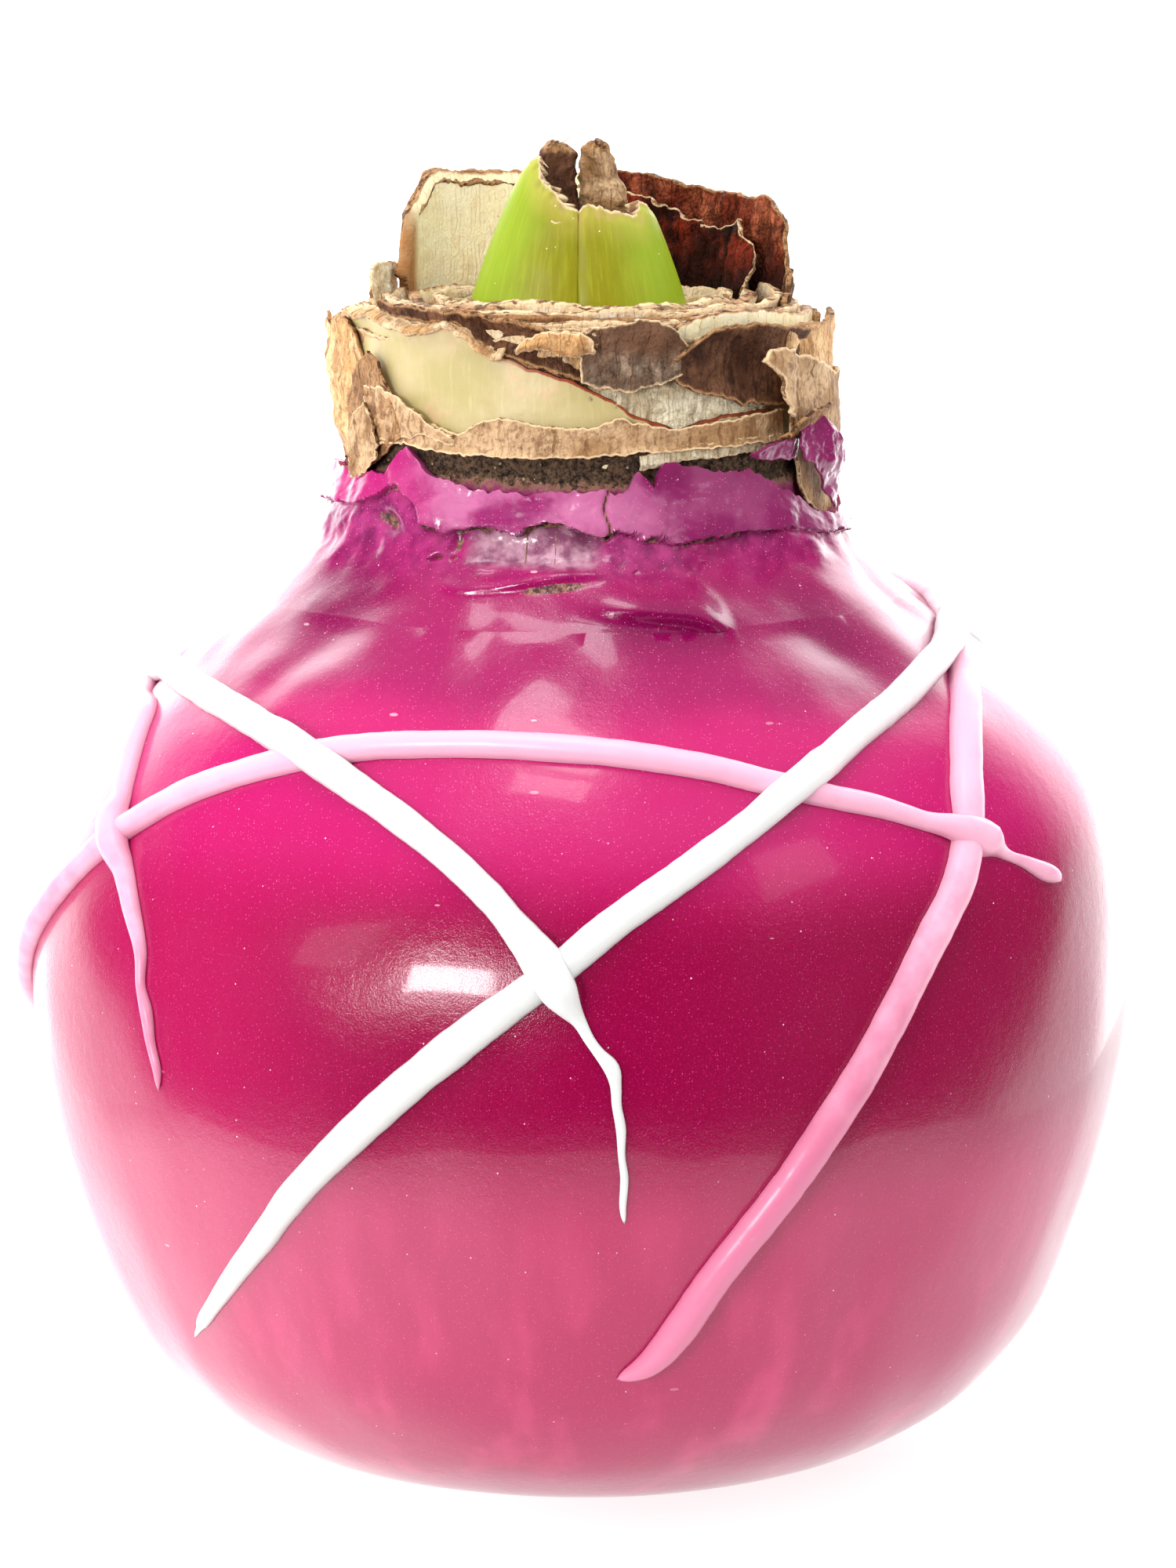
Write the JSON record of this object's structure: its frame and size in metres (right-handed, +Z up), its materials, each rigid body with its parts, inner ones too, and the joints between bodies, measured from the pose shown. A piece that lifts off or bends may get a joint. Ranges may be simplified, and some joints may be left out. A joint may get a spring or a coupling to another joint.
{
  "type": "waxed amaryllis bulb",
  "caption": "Flower bulb dipped in glossy wax with piped wax lines crossing over it, a cut neck of dry scales and tunics, and short green leaf stubs.",
  "frame": {"origin": "middle of the flat spot that the wax coat stands on", "axes": "+Z up through the neck, -Y towards the picture's viewer, +X to the viewer's right"},
  "size_m": [0.1014, 0.1027, 0.1188],
  "materials": {
    "magenta_wax": "glossy wax with fine mica speckle",
    "white_wax": "smooth satin wax",
    "pale_pink_wax": "smooth satin wax",
    "bulb_scales": "fleshy cream scales with browned cut rims",
    "papery_tunic": "dry papery skin with fine veins",
    "dried_scale": "shrivelled red-brown scale with ribs",
    "leaf_green": "waxy fresh leaf with a dried cut edge"
  },
  "bodies": {
    "root": {"bulb": "bulb_scales", "wax_coat": "magenta_wax", "wax_flake": "magenta_wax", "white_lines": "white_wax", "pink_lines": "pale_pink_wax", "front_scale": "bulb_scales", "back_scale": "bulb_scales", "back_tunic": "papery_tunic", "right_tunic": "papery_tunic", "paper_band": "papery_tunic", "left_flap": "papery_tunic", "left_curl": "papery_tunic", "stalk_stub_tan": "papery_tunic", "veined_tunic": "dried_scale", "red_scale_outer": "dried_scale", "red_scale_inner": "dried_scale", "right_curl": "dried_scale", "stalk_stub_dark": "dried_scale", "leaf_left": "leaf_green", "leaf_right": "leaf_green"}
  },
  "joints": []
}
